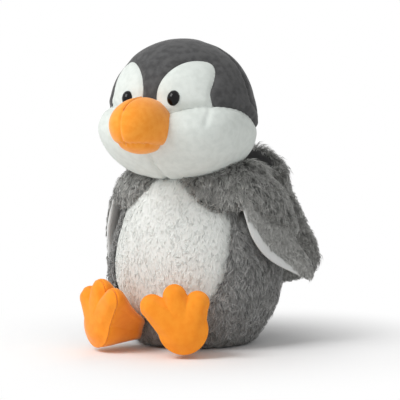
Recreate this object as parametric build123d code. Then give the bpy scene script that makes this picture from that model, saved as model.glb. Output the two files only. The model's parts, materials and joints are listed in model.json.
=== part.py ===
from build123d import *
import math
import os

# A seated plush penguin with a hood that is folded down on its back.
# Frame: origin on the floor under the body's axis, -Y to the front (the beak),
# +X to the penguin's left, +Z up. Millimetres.

# Body: a round, seated bag of fur fabric.
body_height = 165.5
body_radius = 86.0
body_widest_z = 66.0
body_base_radius = 45.0
body_shoulder_radius = 58.0
fur_backing = 3.0

# Belly: an oval light panel let into the front of the body.
belly_centre_z = 98.0
belly_half_width = 67.0
belly_half_height = 72.0

# Pouch of plastic pellets that keeps the body upright.
pouch_radius = 46.0
pouch_half_height = 14.0
pouch_round = 11.0
pouch_raise = 22.0

# Neck: a stuffed stub of the body on which the head turns.
neck_radius = 32.0
neck_length = 14.0
neck_y = -20.0

# Head.
head_width = 158.0
head_girth = 130.0
head_side_radius = 56.0
head_y = -26.0
head_gap = 1.0
head_plush = 2.5
cheek_seam_rise = 2.0
cheek_seam_slope = 13.5
cheek_back_y = 8.0
crown_back_y = -20.0

# Light patches around the eyes.
patch_centre_x = 33.0
patch_rise = 16.0
patch_half_width = 25.0
patch_half_height = 28.0

# Eyes: a domed cap with a shank that a washer locks inside the head.
eye_x = 26.5
eye_rise = 10.0
eye_radius = 6.0
eye_half_height = 7.5
eye_end_radius = 4.9
shank_radius = 2.0
shank_length = 10.0
washer_radius = 7.0
washer_thickness = 1.6
washer_gap = 0.75

# Beak.
beak_radius = 28.0
beak_half_length = 39.0
beak_tip_radius = 21.0
beak_reach = 12.0
beak_drop = 17.5
beak_plush = 2.2
mouth_drop = 16.5

# Flippers: flat stuffed paddles, sewn on at the shoulder.
flipper_inset = 7.0
flipper_y = -8.0
flipper_top_z = 143.0
flipper_length = 80.0
flipper_front = 30.0
flipper_back = 26.0
flipper_sweep = 46.0
flipper_thickness = 14.0
flipper_root = 24.0
flipper_flare = 14.0
flipper_yaw = 9.0
flipper_fur = 3.5
flipper_satin = 2.5
# Where the flipper's edge bends: shares of its front, sweep and length.
front_bend = (0.5, 0.6)
back_bend = (0.95, 0.36)
tip_bend = (1.15, 0.94)
tip_end = (1.17, 0.8)

# Feet: upright three-toed paws with the sole to the front.
foot_height = 72.0
foot_spread = 23.0
foot_depth = 46.0
heel_radius = 24.0
toe_radius = 9.5
side_toe_drop = 8.0
foot_x = 42.0
foot_reach = 27.0
foot_yaw = 26.0
foot_plush = 3.0
foot_floor_gap = 0.6
foot_half_gap = 0.5

# Hood: a cape over the shoulders and a bag that hangs on the back.
cape_lining = 3.0
cape_fur = 3.5
cape_slope = 14.5
cape_side_z = 147.0
bag_half_width = 86.0
bag_depth = 76.0
bag_height = 150.0
bag_set_back = 11.0
bag_centre_z = 137.0
bag_lean = 16.0
bag_round = 30.0
bag_mouth_z = 182.0
bag_fabric = 3.0

# Clearances.
layer_gap = 0.3
body_gap = 0.5
neck_gap = 0.4

# A length past the whole penguin, and the signs of its two sides.
FAR = 600.0
LEFT, RIGHT = 1, -1

# Sizes that follow from the ones above.
cape_thickness = cape_lining + cape_fur + layer_gap
head_bottom_z = body_height + body_gap + cape_thickness + head_gap
neck_share = math.sqrt(1.0 - (neck_radius / (head_width / 2)) ** 2)
head_centre_z = head_bottom_z + neck_share * head_girth / 2
beak_y = head_y - head_girth / 2 - beak_reach
beak_z = head_centre_z - beak_drop
bag_clear = body_gap + cape_thickness + body_gap
bag_centre_y = body_radius + bag_set_back
flipper_x = body_radius - flipper_inset
foot_sole_y = -body_radius - foot_reach

# Helpers.


def half_space(origin, direction):
    """A huge block on the far side of a plane, on the side that direction points to."""
    block = Box(FAR, FAR, FAR, align=(Align.CENTER, Align.CENTER, Align.MIN))
    return Plane(origin=origin, z_dir=direction) * block


def egg(half_length, radius, end_radius, swell):
    """A round form along X: two ball ends joined by a slow bulge, grown by swell."""
    centre = half_length - end_radius
    bulge = (centre**2 + radius**2 - end_radius**2) / (2 * (radius - end_radius))
    lean = math.atan2(centre, bulge - radius)
    join = ((bulge + swell) * math.sin(lean), radius - bulge + (bulge + swell) * math.cos(lean))
    ball = end_radius + swell
    halfway = (math.pi / 2 - lean) / 2
    end_mid = (centre + ball * math.cos(halfway), ball * math.sin(halfway))
    section = make_face(
        [
            ThreePointArc((centre + ball, 0), end_mid, join),
            ThreePointArc(join, (0, radius + swell), (-join[0], join[1])),
            ThreePointArc((-join[0], join[1]), (-end_mid[0], end_mid[1]), (-centre - ball, 0)),
            Line((-centre - ball, 0), (centre + ball, 0)),
        ]
    )
    return revolve(section, axis=Axis.X)


def slab(outline, start, end):
    """A side-view outline (Y, Z) made solid from X = start to X = end."""
    return Pos(start, 0, 0) * extrude(Plane.YZ * outline, end - start)


def mirrored(shape, side):
    """The shape itself for the left side, its mirror image for the right side."""
    return shape if side == LEFT else mirror(shape, about=Plane.YZ)


# Body.


def body_edge(z, swell):
    """The radius of the body's round form at a height, grown by swell."""
    if z < body_widest_z:
        narrowing, rise = body_radius - body_base_radius, body_widest_z
    else:
        narrowing, rise = body_radius - body_shoulder_radius, body_height - body_widest_z
    arc_radius = (narrowing**2 + rise**2) / (2 * narrowing)
    reach = math.sqrt((arc_radius + swell) ** 2 - (z - body_widest_z) ** 2)
    return body_radius - arc_radius + reach


def body_solid(swell):
    """The body's round form, grown (or shrunk) all over by swell."""
    bottom, top = -swell, body_height + swell
    heights = (bottom, (bottom + body_widest_z) / 2, body_widest_z, (body_widest_z + top) / 2, top)
    rim = [(body_edge(z, swell), z) for z in heights]
    section = make_face(
        [
            Line((0, bottom), rim[0]),
            ThreePointArc(rim[0], rim[1], rim[2]),
            ThreePointArc(rim[2], rim[3], rim[4]),
            Line(rim[4], (0, top)),
            Line((0, top), (0, bottom)),
        ]
    )
    return revolve(Plane.XZ * section, axis=Axis.Z)


def neck_post(radius, top_z):
    """A round post on the neck's axis, from inside the body up to top_z."""
    post = Cylinder(radius, top_z - body_widest_z, align=(Align.CENTER, Align.CENTER, Align.MIN))
    return Pos(0, neck_y, body_widest_z) * post


def belly_cutter():
    """An oval prism that runs forward from the neck's axis."""
    oval = Plane.XZ * Pos(0, belly_centre_z) * Ellipse(belly_half_width, belly_half_height)
    return Pos(0, neck_y, 0) * extrude(oval, FAR / 2)


def base_disc():
    """The flat disc that closes the body underneath."""
    return Cylinder(body_base_radius, fur_backing, align=(Align.CENTER, Align.CENTER, Align.MIN))


def body_shell():
    """All fabric of the body, with the hole for the neck."""
    shell = body_solid(0) - body_solid(-fur_backing)
    return shell - neck_post(neck_radius + layer_gap, body_height + neck_length)


def pouch(swell):
    """The pellet pouch, grown by swell."""
    cushion = Cylinder(pouch_radius + swell, 2 * (pouch_half_height + swell))
    return Pos(0, 0, pouch_raise) * fillet(cushion.edges(), pouch_round + swell)


def body_parts():
    """The parts that make up the body."""
    shell = body_shell()
    belly = shell & belly_cutter()
    sides = shell - belly_cutter() - base_disc()
    filling = body_solid(-fur_backing - layer_gap)
    filling += neck_post(neck_radius, body_height + neck_length)
    return {
        "body_side_left": sides & half_space((0, 0, 0), (1, 0, 0)),
        "body_side_right": sides & half_space((0, 0, 0), (-1, 0, 0)),
        "belly_panel": belly - base_disc(),
        "base_panel": base_disc(),
        "body_filling": filling - pouch(layer_gap),
        "pellet_pouch": pouch(0),
    }


# Hood.


def cape_layer(inner, outer):
    """One fabric layer of the cape, which lies on the shoulders."""
    layer = body_solid(outer) - body_solid(inner)
    edge = half_space((0, 0, cape_side_z), Vector(0, 0, 1).rotate(Axis.X, -cape_slope))
    hole = neck_post(neck_radius + body_gap, head_bottom_z)
    return (layer & edge) - hole


def bag_form(shrink):
    """The hood's bag as a rounded block that leans forward, shrunk by shrink."""
    block = Box(2 * (bag_half_width - shrink), bag_depth - 2 * shrink, bag_height - 2 * shrink)
    block = fillet(block.edges(), bag_round - shrink)
    block = Pos(0, bag_centre_y, bag_centre_z) * Rot(bag_lean, 0, 0) * block
    return block - body_solid(bag_clear + shrink)


def bag_layer(inset):
    """One fabric layer of the bag, open at the mouth."""
    layer = bag_form(inset) - bag_form(inset + bag_fabric)
    return layer - half_space((0, 0, bag_mouth_z), (0, 0, 1))


def hood_parts():
    """The parts of the hood."""
    lining_out = body_gap + cape_lining
    return {
        "hood_cape_lining": cape_layer(body_gap, lining_out),
        "hood_cape_fur": cape_layer(lining_out + layer_gap, body_gap + cape_thickness),
        "hood_bag_fur": bag_layer(0),
        "hood_bag_lining": bag_layer(bag_fabric + layer_gap),
    }


# Head.


def head_solid(swell):
    """The head's round form, grown by swell."""
    form = egg(head_width / 2, head_girth / 2, head_side_radius, swell)
    return Pos(0, head_y, head_centre_z) * form


def above_cheeks():
    """The space above the seam that runs round the top of the cheeks."""
    front = (0, head_y - head_girth / 2, head_centre_z + cheek_seam_rise)
    return half_space(front, Vector(0, 0, 1).rotate(Axis.X, -cheek_seam_slope))


def behind(y):
    """The space behind a plane across the head."""
    return half_space((0, y, head_centre_z), (0, 1, 0))


def patch_cutter(side):
    """An oval prism through the front of the head, around one eye."""
    oval = Pos(side * patch_centre_x, head_centre_z + patch_rise)
    oval *= Ellipse(patch_half_width, patch_half_height)
    return Pos(0, head_y, 0) * extrude(Plane.XZ * oval, FAR / 2)


def eye_plane(side):
    """A plane on the face at one eye: its Z points out, its Y points up."""
    halves = (head_width / 2, head_girth / 2, head_girth / 2)
    forward = math.sqrt(1 - (eye_x / halves[0]) ** 2 - (eye_rise / halves[2]) ** 2)
    rel = (side * eye_x, -forward * halves[1], eye_rise)
    outward = Vector(*[value / half**2 for value, half in zip(rel, halves)])
    across = Vector(0, 0, 1).cross(outward)
    origin = Vector(0, head_y, head_centre_z) + Vector(*rel)
    return Plane(origin=origin, x_dir=across, z_dir=outward)


def disc(radius, bottom, top):
    """A round disc on the Z axis from bottom to top."""
    shape = Cylinder(radius, top - bottom, align=(Align.CENTER, Align.CENTER, Align.MIN))
    return Pos(0, 0, bottom) * shape


def eye(side):
    """One eye: an oval domed cap with its shank."""
    cap = Rot(0, 0, 90) * egg(eye_half_height, eye_radius, eye_end_radius, 0)
    cap = eye_plane(side) * cap - head_solid(layer_gap)
    return cap + eye_plane(side) * disc(shank_radius, -shank_length, eye_radius / 2)


def washer_top():
    """How far the washer's outer face lies behind the face's surface."""
    return -(head_plush + washer_gap)


def eye_washer(side):
    """The ring that locks one eye behind its patch."""
    ring = disc(washer_radius, washer_top() - washer_thickness, washer_top())
    return eye_plane(side) * (ring - disc(shank_radius + layer_gap, -shank_length, 0))


def eye_pocket(side):
    """The room that one washer and shank take in the head's filling."""
    room = disc(washer_radius + layer_gap, washer_top() - washer_thickness - layer_gap, 0)
    tip = disc(shank_radius + layer_gap, -shank_length - layer_gap, 0)
    return eye_plane(side) * (room + tip)


def head_parts():
    """The parts of the head without the beak."""
    hole = neck_post(neck_radius + neck_gap, body_height + neck_length + neck_gap)
    shell = head_solid(0) - head_solid(-head_plush) - hole
    low = shell - above_cheeks() - behind(cheek_back_y)
    front = (shell & above_cheeks()) - behind(crown_back_y)
    crown = front - patch_cutter(LEFT) - patch_cutter(RIGHT)
    filling = head_solid(-head_plush - layer_gap) - hole
    parts = {"head_crown": crown, "head_back": shell - low - front}
    for name, side in (("left", LEFT), ("right", RIGHT)):
        shank_hole = eye_plane(side) * disc(shank_radius + layer_gap, -shank_length, eye_radius)
        parts[f"eye_patch_{name}"] = (front & patch_cutter(side)) - shank_hole
        parts[f"cheek_{name}"] = low & half_space((0, 0, 0), (side, 0, 0))
        parts[f"eye_{name}"] = eye(side)
        parts[f"eye_washer_{name}"] = eye_washer(side)
        filling -= eye_pocket(side)
    parts["head_filling"] = filling
    return parts


# Beak.


def beak_solid(shrink):
    """The beak's rounded form in front of the face, shrunk by shrink."""
    form = Rot(0, 0, 90) * egg(beak_half_length, beak_radius, beak_tip_radius, -shrink)
    return Pos(0, beak_y, beak_z) * form - head_solid(layer_gap)


def beak_parts():
    """The parts of the beak."""
    shell = beak_solid(0) - beak_solid(beak_plush)
    above_mouth = half_space((0, beak_y, beak_z - mouth_drop), (0, 0, 1))
    upper = shell & above_mouth
    return {
        "beak_upper_left": upper & half_space((0, 0, 0), (1, 0, 0)),
        "beak_upper_right": upper & half_space((0, 0, 0), (-1, 0, 0)),
        "beak_lower": shell - above_mouth,
        "beak_filling": beak_solid(beak_plush + layer_gap),
    }


# Flippers.


def flipper_outline():
    """Side view of a flipper: the top at Z = 0, the tip swept back."""
    top_front, top_back = (-flipper_front, 0), (flipper_back, 0)
    tip_front = (flipper_sweep, -flipper_length)
    tip_back = (tip_end[0] * flipper_sweep, -tip_end[1] * flipper_length)
    front_mid = (-front_bend[0] * flipper_front, -front_bend[1] * flipper_length)
    tip_mid = (tip_bend[0] * flipper_sweep, -tip_bend[1] * flipper_length)
    back_mid = (back_bend[0] * flipper_sweep, -back_bend[1] * flipper_length)
    lines = [
        ThreePointArc(top_front, front_mid, tip_front),
        ThreePointArc(tip_front, tip_mid, tip_back),
        ThreePointArc(tip_back, back_mid, top_back),
        Line(top_back, top_front),
    ]
    return make_face(lines)


def flipper_placed(shape, side):
    """A flipper's shape, flared and turned at its shoulder, clear of the body."""
    spot = Pos(flipper_x, flipper_y, flipper_top_z) * Rot(0, 0, -flipper_yaw)
    shape = spot * Rot(0, -flipper_flare, 0) * shape
    return mirrored(shape - body_solid(body_gap), side)


def flipper_parts(name, side):
    """The parts of one flipper."""
    outline = flipper_outline()
    inside = offset(outline, amount=-flipper_fur)
    core = offset(outline, amount=-flipper_fur - layer_gap)
    half = flipper_thickness / 2
    satin_face = -half + flipper_satin
    paddle = slab(outline, satin_face, half)
    fur = paddle - slab(inside, satin_face, half - flipper_fur)
    reach = body_radius / 2
    root = half_space((0, 0, -flipper_root), (0, 0, 1))
    satin = slab(outline, -half, satin_face) - (slab(inside, -reach, half) & root)
    below_root = half_space((0, 0, -flipper_root), (0, 0, -1))
    inner_side = half_space((satin_face + layer_gap, 0, 0), (-1, 0, 0))
    filling = slab(core, -reach, half - flipper_fur - layer_gap) - (below_root & inner_side)
    return {
        f"flipper_fur_{name}": flipper_placed(fur, side),
        f"flipper_satin_{name}": flipper_placed(satin, side),
        f"flipper_filling_{name}": flipper_placed(filling, side),
    }


# Feet.


def foot_outline():
    """Front view of a foot: a round heel with three toes above it."""
    heel = Pos(0, heel_radius) * Circle(heel_radius)
    toe_z = foot_height - toe_radius
    outline = heel
    for x, z in ((-foot_spread, toe_z - side_toe_drop), (0, toe_z), (foot_spread, toe_z - side_toe_drop)):
        toe = Pos(x, z) * Circle(toe_radius)
        outline += make_hull(heel.edges() + toe.edges())
    return outline


def foot_slab(outline, front, back):
    """A front-view outline made solid from front to back, behind the sole's face."""
    return Pos(0, front, 0) * extrude(Plane.XZ * outline, front - back)


def foot_placed(shape, side):
    """A foot's shape, turned out and set on the body."""
    shape = Pos(foot_x, foot_sole_y, foot_floor_gap) * Rot(0, 0, foot_yaw) * shape
    shape = (shape - body_solid(body_gap)) & half_space((foot_half_gap, 0, 0), (1, 0, 0))
    return mirrored(shape, side)


def foot_parts(name, side):
    """The parts of one foot."""
    outline = foot_outline()
    inside = offset(outline, amount=-foot_plush)
    core = offset(outline, amount=-foot_plush - layer_gap)
    upper = foot_slab(outline, foot_plush, foot_depth) - foot_slab(inside, foot_plush, foot_depth)
    return {
        f"foot_sole_{name}": foot_placed(foot_slab(outline, 0, foot_plush), side),
        f"foot_upper_{name}": foot_placed(upper, side),
        f"foot_filling_{name}": foot_placed(
            foot_slab(core, foot_plush + layer_gap, foot_depth), side
        ),
    }


# All parts.


def all_parts():
    """Every part of the penguin, by name."""
    parts = body_parts() | hood_parts() | head_parts() | beak_parts()
    for name, side in (("left", LEFT), ("right", RIGHT)):
        parts |= flipper_parts(name, side) | foot_parts(name, side)
    return parts


os.makedirs("parts", exist_ok=True)
for part_name, shape in all_parts().items():
    export_step(shape, f"parts/{part_name}.step")
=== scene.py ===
"""Looks of a seated plush penguin with a hood folded down on its back.

Everything is in metres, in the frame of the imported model: -Y is the front,
+X the penguin's left, +Z up, and the origin lies on the floor.
"""

from __future__ import annotations

import json
import logging
import math
from dataclasses import dataclass
from enum import Enum
from typing import Callable

import bmesh
import bpy
import numpy as np
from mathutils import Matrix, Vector, kdtree, noise

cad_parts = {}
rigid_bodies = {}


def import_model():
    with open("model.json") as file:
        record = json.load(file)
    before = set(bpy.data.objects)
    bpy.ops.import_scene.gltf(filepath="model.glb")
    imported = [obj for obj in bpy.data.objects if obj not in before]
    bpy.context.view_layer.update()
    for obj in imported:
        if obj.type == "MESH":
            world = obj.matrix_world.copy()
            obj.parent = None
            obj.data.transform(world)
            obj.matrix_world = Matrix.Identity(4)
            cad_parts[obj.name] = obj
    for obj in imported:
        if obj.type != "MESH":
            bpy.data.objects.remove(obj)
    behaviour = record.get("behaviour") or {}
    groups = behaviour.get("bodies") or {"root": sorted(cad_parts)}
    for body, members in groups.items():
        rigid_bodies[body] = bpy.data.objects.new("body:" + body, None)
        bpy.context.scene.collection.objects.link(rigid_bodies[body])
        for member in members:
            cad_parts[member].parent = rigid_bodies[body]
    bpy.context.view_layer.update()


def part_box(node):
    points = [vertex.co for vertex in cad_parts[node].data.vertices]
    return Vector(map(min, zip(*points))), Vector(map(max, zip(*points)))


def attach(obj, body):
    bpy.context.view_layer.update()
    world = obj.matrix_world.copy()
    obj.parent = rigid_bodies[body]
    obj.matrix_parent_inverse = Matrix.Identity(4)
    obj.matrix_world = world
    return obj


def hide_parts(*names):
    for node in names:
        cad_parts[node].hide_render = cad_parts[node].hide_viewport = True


LOG = logging.getLogger("penguin")
MM = 0.001
FAR_OUTSIDE = 0.05
Array = np.ndarray


class Side(Enum):
    """The penguin's left or right, with the sign of X there."""

    LEFT = 1
    RIGHT = -1

    @property
    def word(self) -> str:
        """The side's name as used in node names."""
        return self.name.lower()


# ---------------------------------------------------------------- helpers


def smooth_step(low: float, high: float, value: Array) -> Array:
    """A soft switch from 0 to 1.

    Args:
        low: where the switch starts.
        high: where it is complete.
        value: the values to switch on.

    Returns:
        Numbers from 0 to 1, of the same shape as value.
    """
    share = np.clip((value - low) / (high - low), 0.0, 1.0)
    return share * share * (3.0 - 2.0 * share)


def unit(vectors: Array) -> Array:
    """Scales each row to length 1.

    Args:
        vectors: rows of three numbers.

    Returns:
        The same rows with length 1.
    """
    return vectors / np.maximum(np.linalg.norm(vectors, axis=-1, keepdims=True), 1e-9)


def ripple(points: Array, size: float, seed: float) -> Array:
    """Slow, even noise, one value for each point.

    Args:
        points: rows of X, Y, Z in metres.
        size: how far apart the bumps are, in metres.
        seed: moves the pattern, so that pieces differ.

    Returns:
        One value from about -1 to 1 for each point.
    """
    shift = Vector((seed, 2.3 * seed, -1.7 * seed))
    return np.array([noise.noise(Vector(p) / size + shift) for p in points])


def full_turn(columns: int) -> Array:
    """Even angles round a ring, in radians."""
    return np.linspace(0, 2 * math.pi, columns, endpoint=False)


def upright_ring(turn: Array, radius: float | Array, height: float | Array) -> Array:
    """One ring of points round the upright axis.

    Args:
        turn: the angle of each point from the front, in radians.
        radius: how far the points lie from the axis.
        height: how high they lie.

    Returns:
        Rows of X, Y, Z.
    """
    return np.column_stack([radius * np.sin(turn), -radius * np.cos(turn), np.full_like(turn, height)])


def off_middle(points: Array) -> Array:
    """How far points lie left of the middle seam, which no point may lie on."""
    return points[:, 0] + 1e-5


def grid_faces(rows: int, columns: int, start: bool = False, end: bool = False) -> list[tuple[int, ...]]:
    """Quads between the rings of a grid, and a face over either end.

    Args:
        rows: how many rings there are.
        columns: how many points a ring has.
        start: whether a face closes the first ring.
        end: whether a face closes the last ring.

    Returns:
        Faces as tuples of point numbers.
    """
    faces = []
    for row in range(rows - 1):
        for column in range(columns):
            after = (column + 1) % columns
            low, high = row * columns, (row + 1) * columns
            faces.append((low + column, low + after, high + after, high + column))
    if start:
        faces.append(tuple(range(columns))[::-1])
    if end:
        faces.append(tuple(range((rows - 1) * columns, rows * columns)))
    return faces


def make_object(name: str, points: Array, faces: list, material: bpy.types.Material) -> bpy.types.Object:
    """Makes a smooth mesh object.

    Args:
        name: the piece's name.
        points: rows of X, Y, Z in metres.
        faces: tuples of point numbers.
        material: the finish of the whole piece.

    Returns:
        The new object, linked to the scene.
    """
    mesh = bpy.data.meshes.new(name)
    mesh.from_pydata(np.asarray(points, float).tolist(), [], faces)
    mesh.materials.append(material)
    mesh.validate()
    mesh.shade_smooth()
    made = bpy.data.objects.new(name, mesh)
    bpy.context.scene.collection.objects.link(made)
    return made


def rows_of(items: bpy.types.bpy_prop_collection, name: str) -> Array:
    """Reads one vector of every point or face of a mesh.

    Args:
        items: the mesh's points or faces.
        name: what the vector is called there.

    Returns:
        Rows of three numbers.
    """
    values = np.zeros(len(items) * 3)
    items.foreach_get(name, values)
    return values.reshape(-1, 3)


def points_of(made: bpy.types.Object) -> Array:
    """The object's mesh points as rows of X, Y, Z."""
    return rows_of(made.data.vertices, "co")


def normals_of(made: bpy.types.Object) -> Array:
    """The object's outward directions, one for each mesh point."""
    return rows_of(made.data.vertices, "normal")


def face_centres(made: bpy.types.Object) -> Array:
    """The centre of each face, as rows of X, Y, Z."""
    return rows_of(made.data.polygons, "center")


def set_points(made: bpy.types.Object, points: Array) -> None:
    """Moves the object's mesh points.

    Args:
        made: the object to change.
        points: the new places, in the same order.
    """
    made.data.vertices.foreach_set("co", np.asarray(points, float).ravel())
    made.data.update()


def face_outward(made: bpy.types.Object) -> None:
    """Turns the faces of a mesh so that they all look out.

    Args:
        made: the object to change.
    """
    work = bmesh.new()
    work.from_mesh(made.data)
    bmesh.ops.recalc_face_normals(work, faces=work.faces)
    work.to_mesh(made.data)
    work.free()


def bake_modifiers(made: bpy.types.Object) -> None:
    """Writes what the object's modifiers do into its mesh, and removes them.

    Args:
        made: the object to change.
    """
    bpy.context.view_layer.update()
    shown = made.evaluated_get(bpy.context.evaluated_depsgraph_get())
    mesh = bpy.data.meshes.new_from_object(shown)
    made.modifiers.clear()
    made.data = mesh


def thicken(made: bpy.types.Object, thickness: float) -> None:
    """Gives a sheet its thickness, inward from the surface.

    Args:
        made: the sheet.
        thickness: how thick it gets, in metres.
    """
    modifier = made.modifiers.new("thickness", "SOLIDIFY")
    modifier.thickness = thickness
    modifier.offset = -1.0
    bake_modifiers(made)
    made.data.shade_smooth()


def cut_along(made: bpy.types.Object, height: Callable[[Array], Array]) -> None:
    """Adds edges to a mesh where a function of place changes its sign.

    Args:
        made: the object whose mesh is cut.
        height: gives one signed number for each point.
    """
    work = bmesh.new()
    work.from_mesh(made.data)
    work.verts.ensure_lookup_table()
    values = height(np.array([v.co for v in work.verts], float))
    nearest = 2e-5
    values[np.abs(values) < nearest] = nearest
    level = {vert: value for vert, value in zip(work.verts, values)}
    fresh = set()
    for edge in list(work.edges):
        first, second = edge.verts
        if level[first] * level[second] < 0:
            share = level[first] / (level[first] - level[second])
            added = bmesh.utils.edge_split(edge, first, share)[1]
            level[added] = 0.0
            fresh.add(added)
    for face in list(work.faces):
        ends = [vert for vert in face.verts if vert in fresh]
        if len(ends) == 2:
            bmesh.utils.face_split(face, ends[0], ends[1])
    work.to_mesh(made.data)
    work.free()


def split_by(made: bpy.types.Object, label: Array, names: dict[int, str]) -> dict[str, bpy.types.Object]:
    """Divides a mesh into one object for each number on its faces.

    Args:
        made: the object to divide; it is removed.
        label: a whole number for each face.
        names: the name of the piece for each number.

    Returns:
        The new objects by name.
    """
    mesh = made.data
    points = points_of(made)
    polygons = [tuple(p.vertices) for p in mesh.polygons]
    pieces = {}
    for number, name in names.items():
        kept = [polygons[i] for i in np.flatnonzero(label == number)]
        used = sorted({corner for face in kept for corner in face})
        place = {old: new for new, old in enumerate(used)}
        faces = [tuple(place[corner] for corner in face) for face in kept]
        pieces[name] = make_object(name, points[used], faces, mesh.materials[0])
    bpy.data.objects.remove(made)
    return pieces


# ---------------------------------------------------------------- finishes


@dataclass(frozen=True)
class Finish:
    """What all finishes share: a name and a principled surface."""

    name: str
    colour: tuple[float, float, float]

    def start(self) -> tuple[bpy.types.Material, bpy.types.NodeTree, bpy.types.Node]:
        """Makes the empty material.

        Returns:
            The material, its node tree and its principled node.
        """
        material = bpy.data.materials.new(self.name)
        material.use_nodes = True
        tree = material.node_tree
        return material, tree, tree.nodes["Principled BSDF"]

    def noise_node(self, tree: bpy.types.NodeTree, scale: float, detail: float) -> bpy.types.Node:
        """Adds noise that lies on the object's own coordinates.

        Args:
            tree: where the node goes.
            scale: bumps for each metre.
            detail: how much finer noise is added.

        Returns:
            The noise node.
        """
        place = tree.nodes.new("ShaderNodeTexCoord")
        grain = tree.nodes.new("ShaderNodeTexNoise")
        grain.inputs["Scale"].default_value = scale
        grain.inputs["Detail"].default_value = detail
        tree.links.new(place.outputs["Object"], grain.inputs["Vector"])
        return grain

    def mix_node(self, tree: bpy.types.NodeTree, low: tuple, high: tuple) -> bpy.types.Node:
        """Adds a mix of two colours.

        Args:
            tree: where the node goes.
            low: the colour at 0.
            high: the colour at 1.

        Returns:
            The mix node; its factor is input 0 and its result output 2.
        """
        mix = tree.nodes.new("ShaderNodeMix")
        mix.data_type = "RGBA"
        mix.inputs[6].default_value = (*low, 1.0)
        mix.inputs[7].default_value = (*high, 1.0)
        return mix

    def raise_by(self, texture: bpy.types.Node, strength: float, distance: float) -> None:
        """Lets a texture raise the surface of its own material.

        Args:
            texture: the noise or wave node.
            strength: how much of the bump shows.
            distance: how high it is, in metres.
        """
        tree = texture.id_data
        bump = tree.nodes.new("ShaderNodeBump")
        bump.inputs["Strength"].default_value = strength
        bump.inputs["Distance"].default_value = distance
        tree.links.new(texture.outputs["Fac"], bump.inputs["Height"])
        tree.links.new(bump.outputs["Normal"], tree.nodes["Principled BSDF"].inputs["Normal"])


@dataclass(frozen=True)
class Plush(Finish):
    """Short, dense plush with a soft sheen and a brushed, slightly mottled nap."""

    shade: tuple[float, float, float]
    sheen: float = 0.35
    nap: float = 0.25

    def material(self) -> bpy.types.Material:
        """Builds the plush material.

        Returns:
            The new material.
        """
        material, tree, surface = self.start()
        mottle = self.noise_node(tree, 160.0, 9.0)
        spread = tree.nodes.new("ShaderNodeMapRange")
        spread.inputs["From Min"].default_value = 0.36
        spread.inputs["From Max"].default_value = 0.60
        mix = self.mix_node(tree, self.shade, self.colour)
        tree.links.new(mottle.outputs["Fac"], spread.inputs["Value"])
        tree.links.new(spread.outputs["Result"], mix.inputs[0])
        tree.links.new(mix.outputs[2], surface.inputs["Base Color"])
        self.raise_by(self.noise_node(tree, 1500.0, 3.0), self.nap, 0.0006)
        surface.inputs["Roughness"].default_value = 0.92
        surface.inputs["Specular IOR Level"].default_value = 0.15
        surface.inputs["Sheen Weight"].default_value = self.sheen
        surface.inputs["Sheen Roughness"].default_value = 0.45
        return material


@dataclass(frozen=True)
class Fur(Finish):
    """Long pile: each strand runs from a dark root, painted shade deep in the pile, to a pale tip."""

    root: tuple[float, float, float]
    tip: tuple[float, float, float]
    sheen: float = 0.15
    clear: float = 0.3

    def material(self) -> bpy.types.Material:
        """Builds the fur material, which reads the strands' tone.

        Returns:
            The new material.
        """
        material, tree, surface = self.start()
        along = tree.nodes.new("ShaderNodeAttribute")
        along.attribute_name = "along"
        tone = tree.nodes.new("ShaderNodeAttribute")
        tone.attribute_name = "tone"
        strand = self.mix_node(tree, self.colour, self.tip)
        tree.links.new(tone.outputs["Fac"], strand.inputs[0])
        # The mix from the dark root colour up each strand is painted shade deep in the pile.
        mix = self.mix_node(tree, self.root, self.tip)
        tree.links.new(along.outputs["Fac"], mix.inputs[0])
        tree.links.new(strand.outputs[2], mix.inputs[7])
        tree.links.new(mix.outputs[2], surface.inputs["Base Color"])
        surface.inputs["Roughness"].default_value = 0.8
        surface.inputs["Specular IOR Level"].default_value = 0.2
        surface.inputs["Sheen Weight"].default_value = self.sheen
        through = tree.nodes.new("ShaderNodeBsdfTranslucent")
        both = tree.nodes.new("ShaderNodeMixShader")
        both.inputs["Fac"].default_value = self.clear
        tree.links.new(mix.outputs[2], through.inputs["Color"])
        tree.links.new(surface.outputs["BSDF"], both.inputs[1])
        tree.links.new(through.outputs["BSDF"], both.inputs[2])
        tree.links.new(both.outputs["Shader"], tree.nodes["Material Output"].inputs["Surface"])
        return material


@dataclass(frozen=True)
class Knit(Finish):
    """Smooth, fine-knit lining cloth."""

    shade: tuple[float, float, float]

    def material(self) -> bpy.types.Material:
        """Builds the lining material with its fine ribs.

        Returns:
            The new material.
        """
        material, tree, surface = self.start()
        mottle = self.noise_node(tree, 60.0, 4.0)
        mix = self.mix_node(tree, self.shade, self.colour)
        tree.links.new(mottle.outputs["Fac"], mix.inputs[0])
        tree.links.new(mix.outputs[2], surface.inputs["Base Color"])
        place = tree.nodes.new("ShaderNodeTexCoord")
        ribs = tree.nodes.new("ShaderNodeTexWave")
        ribs.inputs["Scale"].default_value = 260.0
        ribs.inputs["Distortion"].default_value = 1.5
        tree.links.new(place.outputs["Object"], ribs.inputs["Vector"])
        self.raise_by(ribs, 0.25, 0.0003)
        surface.inputs["Roughness"].default_value = 0.75
        surface.inputs["Sheen Weight"].default_value = 0.25
        return material


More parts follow.
